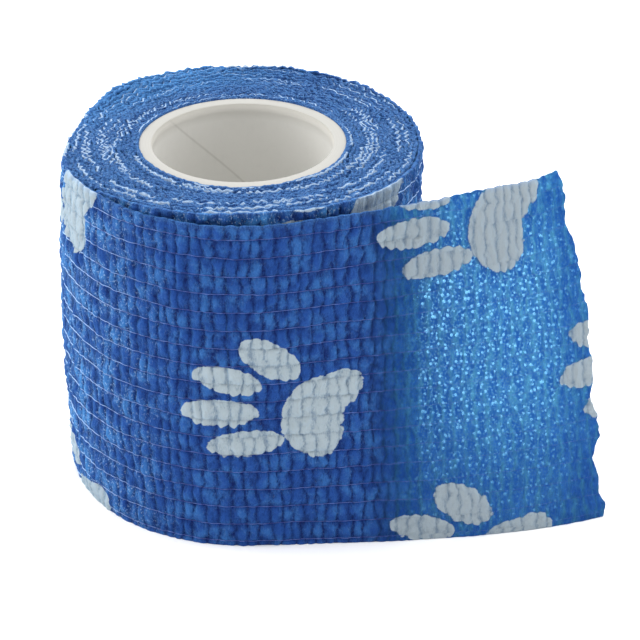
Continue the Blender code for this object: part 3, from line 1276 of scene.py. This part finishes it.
@dataclass(frozen=True)
class ClothFinish:
    """Creped nonwoven: cobalt blue with painted shade in its grooves, painted sheen and glints
    that are strongest on the roll's left side, painted light on the folded-over edge, white print
    with painted shade in its creases that breaks up at its outline, pin holes that let light
    through where a single layer stands free.

    Places on the cloth are in centimetres. A noise is its scale, detail and roughness. A ramp is
    the values at its start and end, and where given the range that it is carried to.
    """

    name: str = "creped_cloth"

    # Colours of the cloth and the print, among them painted shade, painted sheen, painted glints and
    # painted light
    # Painted shade: the blue deep in the puckers' grooves
    groove: tuple = (0.002, 0.008, 0.095)
    crest: tuple = (0.016, 0.070, 0.315)
    # Painted sheen: the lighter blue of patches, strongest on the roll's left side
    painted_sheen: tuple = (0.060, 0.245, 0.600)
    # Painted glints of fibre ends, strongest on the roll's left side
    painted_glint: tuple = (0.300, 0.450, 0.680)
    matted: tuple = (0.004, 0.016, 0.115)
    frayed: tuple = (0.058, 0.165, 0.425)
    # Painted light on the folded-over upper edge and on the turns beneath it
    turned: tuple = (0.085, 0.285, 0.640)
    frayed_ink: tuple = (0.370, 0.510, 0.730)
    ink: tuple = (0.425, 0.503, 0.548)
    # Painted shade: the print in its creases
    ink_painted_shade: tuple = (0.180, 0.250, 0.340)

    # Colours of the light that comes through
    thick_glow: tuple = (0.055, 0.240, 0.560)
    thin_glow: tuple = (0.380, 0.840, 0.930)
    ink_glow: tuple = (0.790, 0.780, 0.750)
    ink_crease_glow: tuple = (0.480, 0.560, 0.660)
    hole_tint: tuple = (0.480, 0.770, 0.960)

    # The surface
    roughness: float = 0.8
    specular: float = 0.1
    sheen: float = 0.30
    sheen_tint: tuple = (0.15, 0.55, 1.0)
    crumple_mm: float = 0.45
    fibre_mm: float = 0.22

    # The print's worn outline, and how deep its ink goes into the cloth, in millimetres
    outline: tuple = (0.06, -0.06)
    outline_noise: tuple = (9.0, 3.0)
    outline_strays: float = 0.9
    outline_pinch: float = 0.35
    pinch_level: float = 0.6
    ink_depth: float = 0.15
    ink_fades: float = 0.03
    ink_strays: float = 0.08

    # The cloth's tone: painted shade from the crest share, and a random mottle from the crumple and the
    # fibres
    fibre_stretch: float = 0.36
    fibre_noise: tuple = (46.0, 4.0, 0.75)
    crumple_stretch: float = 0.5
    crumple_noise: tuple = (14.0, 2.0, 0.55)
    felt_noise: tuple = (44.0, 3.0, 0.75)
    patch_noise: tuple = (3.2, 2.0)
    tone_shares: tuple = (0.80, 1.6, 0.55)
    tone_level: float = 0.945
    tone_range: tuple = (0.12, 0.92)
    ink_tone_range: tuple = (0.05, 0.65)
    matted_range: tuple = (0.38, 0.62)
    folded_range: tuple = (0.25, 0.60)
    inked_fray: float = 0.8

    # Painted sheen in patches and painted glints of fibre ends: most on the roll's left side
    painted_sheen_patches: tuple = (0.46, 0.64)
    painted_sheen_tones: tuple = (0.25, 0.85)
    painted_sheen_side: tuple = (-1.2, -3.0, (0.35, 1.0))
    painted_glint_stretch: float = 0.7
    painted_glint_noise: tuple = (34.0, 2.0, 0.75)
    painted_glint_range: tuple = (0.55, 0.65, (0.0, 0.90))
    painted_glint_patches: tuple = (0.40, 0.54)
    painted_glint_side: tuple = (-0.8, -2.2, (0.10, 1.0))
    painted_glint_on_edges: tuple = (0.0, 1.0, (1.0, 0.5))

    # Streaks and pin holes of the loose end
    streak_stretch: float = 0.25
    streak_noise: tuple = (26.0, 3.0, 0.7)
    thin_shares: tuple = (0.8, 0.45)
    thin_range: tuple = (0.44, 0.86, (0.0, 0.8))
    crease_range: tuple = (0.50, 0.80)
    inward_depths: tuple = (0.1, 0.3)
    hole_stretch: float = 0.85
    holes_per_cm: float = 12.0
    hole_sizes: tuple = (0.1, 0.9, (0.10, 0.24))
    hole_rim: tuple = (0.08, -0.06)
    hole_strengths: tuple = (0.05, 0.6, (0.15, 1.0))
    pricks_per_cm: float = 26.0
    prick_rim: tuple = (0.34, 0.10, (0.0, 0.55))
    see_through: float = 0.80
    back_open: float = 0.55
    back_light: float = 0.60
    ink_stops: float = 0.55

    def make(self, sheer: bool) -> bpy.types.Material:
        """Make the material.

        Args:
            sheer: Whether it lets light through, as the loose end does.

        Returns:
            The material.
        """
        w = Weave("sheer_" + self.name if sheer else self.name)
        cloth = w.read("cloth", "Vector")
        crest = w.read("crest")
        fray = w.times(w.less(w.noise(cloth, *self.outline_noise), 0.5), self.outline_strays)
        pinch = w.times(w.less(self.pinch_level, crest), self.outline_pinch)
        edge = w.plus(w.read("ink"), fray, pinch)
        skin = w.plus(w.read("skin"), w.times(fray, self.ink_strays))
        on_face = w.ramp(skin, self.ink_depth + self.ink_fades, self.ink_depth - self.ink_fades)
        printed = w.times(w.ramp(edge, *self.outline), on_face)
        fibres = w.noise(w.stretch(cloth, self.fibre_stretch), *self.fibre_noise)
        crumple = w.noise(w.stretch(cloth, self.crumple_stretch), *self.crumple_noise)
        by_crest, by_fibres, by_crumple = self.tone_shares
        rough = w.plus(w.times(fibres, by_fibres), w.times(crumple, by_crumple))
        # Tone: low in the grooves, where the colours paint shade, with a random mottle over it
        tone = w.plus(w.times(crest, by_crest), w.less(rough, self.tone_level))
        frayed = w.read("frayed")
        blue = self.blue(w, cloth, tone, frayed)
        # The print darkens by the tone: painted shade in its creases
        white = w.blend(w.ramp(tone, *self.ink_tone_range), self.ink_painted_shade, self.ink)
        white = w.blend(w.times(frayed, self.inked_fray), white, self.frayed_ink)
        heights = w.plus(w.times(crumple, self.crumple_mm), w.times(fibres, self.fibre_mm))
        w.dress(
            {
                "Base Color": w.blend(printed, blue, white),
                "Roughness": self.roughness,
                "Specular IOR Level": self.specular,
                "Sheen Weight": self.sheen,
                "Sheen Tint": (*self.sheen_tint, 1.0),
                "Normal": w.bump(heights, MM),
            }
        )
        if sheer:
            self.let_light_through(w, cloth, edge)
        return w.material

    def blue(self, w: Weave, cloth: Socket, tone: Socket, frayed: Socket) -> Socket:
        """The bare cloth's colour: its tone, with painted shade in the grooves, then patches of painted
        sheen, the matted edges of the turns, painted light on the folded-over edge and the bright ends
        of fibres as painted glints, which are the highest places of a fine unevenness. The sheen and
        the glints are strongest on the roll's left side.

        Args:
            w: The material's nodes.
            cloth: The place on the cloth.
            tone: How light it is: painted shade from the crest, and a mottle from the crumple and the
                fibres.
            frayed: How near a turn's edge it is.

        Returns:
            The colour.
        """
        side = w.along(cloth)
        felt = w.noise(cloth, *self.felt_noise)
        patchy = w.noise(cloth, *self.patch_noise)
        # Painted shade: the groove colour where the tone is low
        colour = w.blend(w.ramp(tone, *self.tone_range), self.groove, self.crest)
        # Painted sheen in random patches, strongest on the roll's left side
        worn = w.times(w.ramp(patchy, *self.painted_sheen_patches), w.ramp(tone, *self.painted_sheen_tones))
        colour = w.blend(w.times(worn, w.ramp(side, *self.painted_sheen_side)), colour, self.painted_sheen)
        matted = w.blend(w.ramp(felt, *self.matted_range), self.matted, self.frayed)
        colour = w.blend(frayed, colour, matted)
        # Painted light on the folded-over edge and on the turns under it
        folded = w.times(w.read("turned"), w.ramp(felt, *self.folded_range))
        colour = w.blend(folded, colour, self.turned)
        # Painted glints of fibre ends, strongest on the roll's left side
        fine = w.noise(w.stretch(cloth, self.painted_glint_stretch), *self.painted_glint_noise)
        shine = w.times(w.ramp(fine, *self.painted_glint_range), w.ramp(patchy, *self.painted_glint_patches))
        spread = w.times(w.ramp(side, *self.painted_glint_side), w.ramp(frayed, *self.painted_glint_on_edges))
        return w.blend(w.times(shine, spread), colour, self.painted_glint)

    def let_light_through(self, w: Weave, cloth: Socket, edge: Socket) -> None:
        """Mix in the light that comes through thin streaks and pin holes.

        The printed face is see-through in its pin holes, and the inward face by an even share
        wherever it is bare, so that the view through a hole doesn't hang on its slant.

        Args:
            w: The material's nodes.
            cloth: The place on the cloth.
            edge: Signed distance to the print's worn outline.
        """
        inked = w.ramp(edge, *self.outline)
        inward = w.ramp(w.read("skin"), *self.inward_depths)
        bare = w.times(w.less(1.0, inked), w.read("open"))
        holes = w.times(self.holes(w, cloth), bare)
        streaks = w.noise(w.stretch(cloth, self.streak_stretch), *self.streak_noise)
        by_streaks, by_grooves = self.thin_shares
        grooves = w.less(1.0, w.read("crest"))
        thin = w.plus(w.times(streaks, by_streaks), w.times(grooves, by_grooves))
        creased = w.ramp(thin, *self.crease_range)
        thin = w.maths("MAXIMUM", w.ramp(thin, *self.thin_range), holes)
        through = w.nodes.new("ShaderNodeBsdfTranslucent")
        glow = w.blend(thin, self.thick_glow, self.thin_glow)
        ink_glow = w.blend(creased, self.ink_glow, self.ink_crease_glow)
        w.give(through.inputs["Color"], w.blend(inked, glow, ink_glow))
        passed = w.less(1.0, w.times(inked, self.ink_stops))
        passed = w.times(passed, self.back_light, w.read("sheer"))
        body = w.mixed(passed, w.shader.outputs[0], through.outputs[0])
        clear = w.nodes.new("ShaderNodeBsdfTransparent")
        w.give(clear.inputs["Color"], (*self.hole_tint, 1.0))
        front = w.times(holes, self.see_through)
        back = w.times(bare, inward, self.back_open)
        opened = w.maths("MAXIMUM", front, back)
        w.give(w.output.inputs["Surface"], w.mixed(opened, body, clear.outputs[0]))

    def holes(self, w: Weave, cloth: Socket) -> Socket:
        """Pin holes: small spots round scattered points, some wide and some hardly open, and
        finer and fainter pricks between them.

        Args:
            w: The material's nodes.
            cloth: The place on the cloth.

        Returns:
            How open the cloth is.
        """
        place = w.stretch(cloth, self.hole_stretch)
        spots = w.cells(place, self.holes_per_cm)
        chance = w.cells(place, self.holes_per_cm, "Color")
        disc = w.ramp(w.less(spots, w.ramp(chance, *self.hole_sizes)), *self.hole_rim)
        disc = w.times(disc, w.ramp(chance, *self.hole_strengths))
        pricks = w.ramp(w.cells(place, self.pricks_per_cm), *self.prick_rim)
        return w.maths("MAXIMUM", disc, pricks)


@dataclass(frozen=True)
class ThreadFinish:
    """Covered elastic thread: lilac with painted shade in the puckers' grooves and a painted
    highlight towards the roll's left side, and white where the print runs over it."""

    name: str = "elastic_thread"
    plain: tuple = (0.105, 0.185, 0.540)
    # Painted highlight: the thread towards the roll's left side
    pale: tuple = (0.390, 0.630, 0.960)
    # Painted shade: the thread in the grooves
    dark: tuple = (0.030, 0.055, 0.280)
    ink: tuple = (0.400, 0.475, 0.530)
    roughness: float = 0.4
    specular: float = 0.4
    stretch: float = 3.0
    noise: tuple = (8.0, 3.0)
    by_crest: float = 0.35
    painted_highlight_share: float = 0.20
    painted_highlight_side: tuple = (-0.8, -3.2)
    tone_range: tuple = (0.50, 0.74)
    outline: tuple = (0.1, -0.1)

    def make(self) -> bpy.types.Material:
        """Make the material."""
        w = Weave(self.name)
        cloth = w.read("cloth", "Vector")
        uneven = w.noise(w.stretch(cloth, self.stretch), *self.noise)
        # Painted highlight towards the roll's left side, and painted shade where the crest share is low
        bare = w.ramp(w.along(cloth), *self.painted_highlight_side)
        lit = w.plus(uneven, w.times(w.read("crest"), self.by_crest), w.times(bare, self.painted_highlight_share))
        painted_highlight_colour = w.blend(bare, self.plain, self.pale)
        colour = w.blend(w.ramp(lit, *self.tone_range), self.dark, painted_highlight_colour)
        colour = w.blend(w.ramp(w.read("ink"), *self.outline), colour, self.ink)
        w.dress(
            {
                "Base Color": colour,
                "Roughness": self.roughness,
                "Specular IOR Level": self.specular,
            }
        )
        return w.material


@dataclass(frozen=True)
class PaperFinish:
    """Matt wound paper: cream-white and a little greyer in the bore, with painted light and shade
    set against the lamps, the rim painted darker than the bore and the bore painted lighter with
    depth below a darker mouth; the plies' tone across the wall, a fibrous mottle and a fine dark seam."""

    name: str = "tube_paper"
    # Painted shade: the rim and outside painted darker than the bore, against the light from above
    rim_painted_shade: tuple = (0.360, 0.356, 0.335)
    ply: tuple = (0.328, 0.321, 0.298)
    # Painted shade at the bore's mouth, and painted light deeper in the bore
    mouth_painted_shade: tuple = (0.470, 0.455, 0.415)
    bore: tuple = (0.680, 0.673, 0.642)
    seam: tuple = (0.400, 0.390, 0.360)
    roughness: float = 0.8
    mottle_noise: tuple = (900.0, 4.0, 0.6)
    mottle_range: tuple = (0.5, 0.8)
    mottle_share: float = 0.06
    mottle_depth: float = 0.00003
    mottle_strength: float = 0.4
    plies: float = 30.0
    ply_range: tuple = (0.2, 1.0)
    ply_share: float = 0.3
    rim_range: tuple = (0.5, 0.0)
    seam_range: tuple = (0.32, 0.06)
    seam_share: float = 0.40

    def make(self) -> bpy.types.Material:
        """Make the material."""
        w = Weave(self.name)
        place = w.nodes.new("ShaderNodeTexCoord").outputs["Object"]
        mottle = w.noise(place, *self.mottle_noise)
        plies = w.ramp(w.maths("SINE", w.times(w.read("wall"), self.plies)), *self.ply_range)
        # Painted light: the bore goes lighter with depth, from the darker mouth
        inside = w.blend(w.read("deep"), self.mouth_painted_shade, self.bore)
        top = w.ramp(w.read("bore"), *self.rim_range)
        # Painted shade: the darker colour on the tube's ends and outside
        colour = w.blend(top, inside, self.rim_painted_shade)
        colour = w.blend(w.times(plies, self.ply_share, top), colour, self.ply)
        spots = w.times(w.ramp(mottle, *self.mottle_range), self.mottle_share)
        colour = w.blend(spots, colour, self.ply)
        off = w.maths("ABSOLUTE", w.read("seam"))
        line = w.times(w.ramp(off, *self.seam_range), self.seam_share)
        w.dress(
            {
                "Base Color": w.blend(line, colour, self.seam),
                "Roughness": self.roughness,
                "Normal": w.bump(mottle, self.mottle_depth, self.mottle_strength),
            }
        )
        return w.material


@dataclass(frozen=True)
class FloorFinish:
    """A plain pale floor, lit a little from beneath so that shadows on it stay faint."""

    name: str = "pale_floor"
    colour: tuple = (0.96, 0.96, 0.96)
    roughness: float = 0.9
    glow: float = 0.06

    def make(self) -> bpy.types.Material:
        """Make the material."""
        w = Weave(self.name)
        w.dress(
            {
                "Base Color": (*self.colour, 1.0),
                "Roughness": self.roughness,
                "Emission Color": (1.0, 1.0, 1.0, 1.0),
                "Emission Strength": self.glow,
            }
        )
        return w.material


@dataclass(frozen=True)
class Lamp:
    """One soft white lamp: where it stands, in metres from the object, its side and its power."""

    name: str
    place: tuple[float, float, float]
    size: float
    power: float


@dataclass
class Studio:
    """Floor, even sky, soft lamps and the camera, none of them part of the object."""

    axis: Array
    eye: tuple[float, float, float] = (10.662, -349.392, 216.083)
    pitch_deg: float = 29.069
    lens: float = 157.5
    sensor: float = 36.0
    sky: float = 0.55
    floor_half: float = 1.5
    near_clip: float = 0.01
    lamps: tuple[Lamp, ...] = (
        Lamp("overhead", (-0.05, 0.05, 0.80), 1.0, 8.5),
        Lamp("left_side", (-0.80, 0.15, 0.35), 0.6, 4.4),
        Lamp("right_side", (0.80, 0.15, 0.35), 0.6, 2.5),
        Lamp("behind", (0.05, 0.90, 0.45), 0.6, 5.0),
    )

    def floor(self) -> None:
        """A wide level plane."""
        half = self.floor_half
        mesh = bpy.data.meshes.new("floor")
        square = [(-half, -half, 0.0), (half, -half, 0.0), (half, half, 0.0), (-half, half, 0.0)]
        mesh.from_pydata(square, [], [(0, 1, 2, 3)])
        mesh.materials.append(FloorFinish().make())
        plane = bpy.data.objects.new("floor", mesh)
        bpy.context.scene.collection.objects.link(plane)

    def light(self) -> None:
        """An even white sky and the soft lamps, each turned towards the object."""
        world = bpy.data.worlds.new("sky")
        world.use_nodes = True
        sky = world.node_tree.nodes["Background"].inputs
        sky["Color"].default_value = (1.0, 1.0, 1.0, 1.0)
        sky["Strength"].default_value = self.sky
        bpy.context.scene.world = world
        for lamp in self.lamps:
            data = bpy.data.lights.new(lamp.name, "AREA")
            data.shape = "SQUARE"
            data.size = lamp.size
            data.energy = lamp.power
            thing = bpy.data.objects.new(lamp.name, data)
            thing.location = lamp.place
            aim = -thing.location
            thing.rotation_euler = aim.to_track_quat("-Z", "Y").to_euler()
            bpy.context.scene.collection.objects.link(thing)

    def camera(self) -> None:
        """The view: level along +Y, tipped down by the pitch."""
        data = bpy.data.cameras.new("camera")
        data.lens = self.lens
        data.sensor_width = self.sensor
        data.clip_start = self.near_clip
        thing = bpy.data.objects.new("camera", data)
        thing.location = np.array(self.eye) * MM + self.axis
        thing.rotation_euler = (math.radians(90.0 - self.pitch_deg), 0.0, 0.0)
        bpy.context.scene.collection.objects.link(thing)
        bpy.context.scene.camera = thing

    def make(self) -> None:
        """Set the studio up."""
        self.floor()
        self.light()
        self.camera()
        bpy.context.scene.view_settings.view_transform = "Standard"


def corners(box: tuple) -> list[list[float]]:
    """A box's two corners as plain lists."""
    return [[float(value) for value in corner] for corner in box]


def main() -> None:
    """Build the pieces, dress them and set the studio."""
    logging.basicConfig(level=logging.INFO, format="%(message)s")
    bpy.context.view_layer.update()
    low, high = (np.array(corner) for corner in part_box(Node.PAPER.value))
    middle = (low + high) / 2
    axis = np.array([middle[0], middle[1], 0.0])
    width = float(high[2] - low[2]) / MM
    tube_radius = float(high[0] - low[0]) / 2 / MM
    maker = MeshMaker(axis)
    finishes = (ClothFinish().make(sheer) for sheer in (False, True))
    outer = OuterCloth(ClothRun(width), Crepe(width), PawPrint(), maker, *finishes)
    for piece in outer.make():
        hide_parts(Node.CLOTH.value)
    WoundTurns(outer, tube_radius=tube_radius).make()
    ElasticThreads(outer, ThreadFinish().make()).make()
    tube = PaperTube(maker, PaperFinish().make(), width, tube_radius).make()
    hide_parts(Node.PAPER.value)
    Studio(axis).make()


if __name__ == "__main__":
    main()
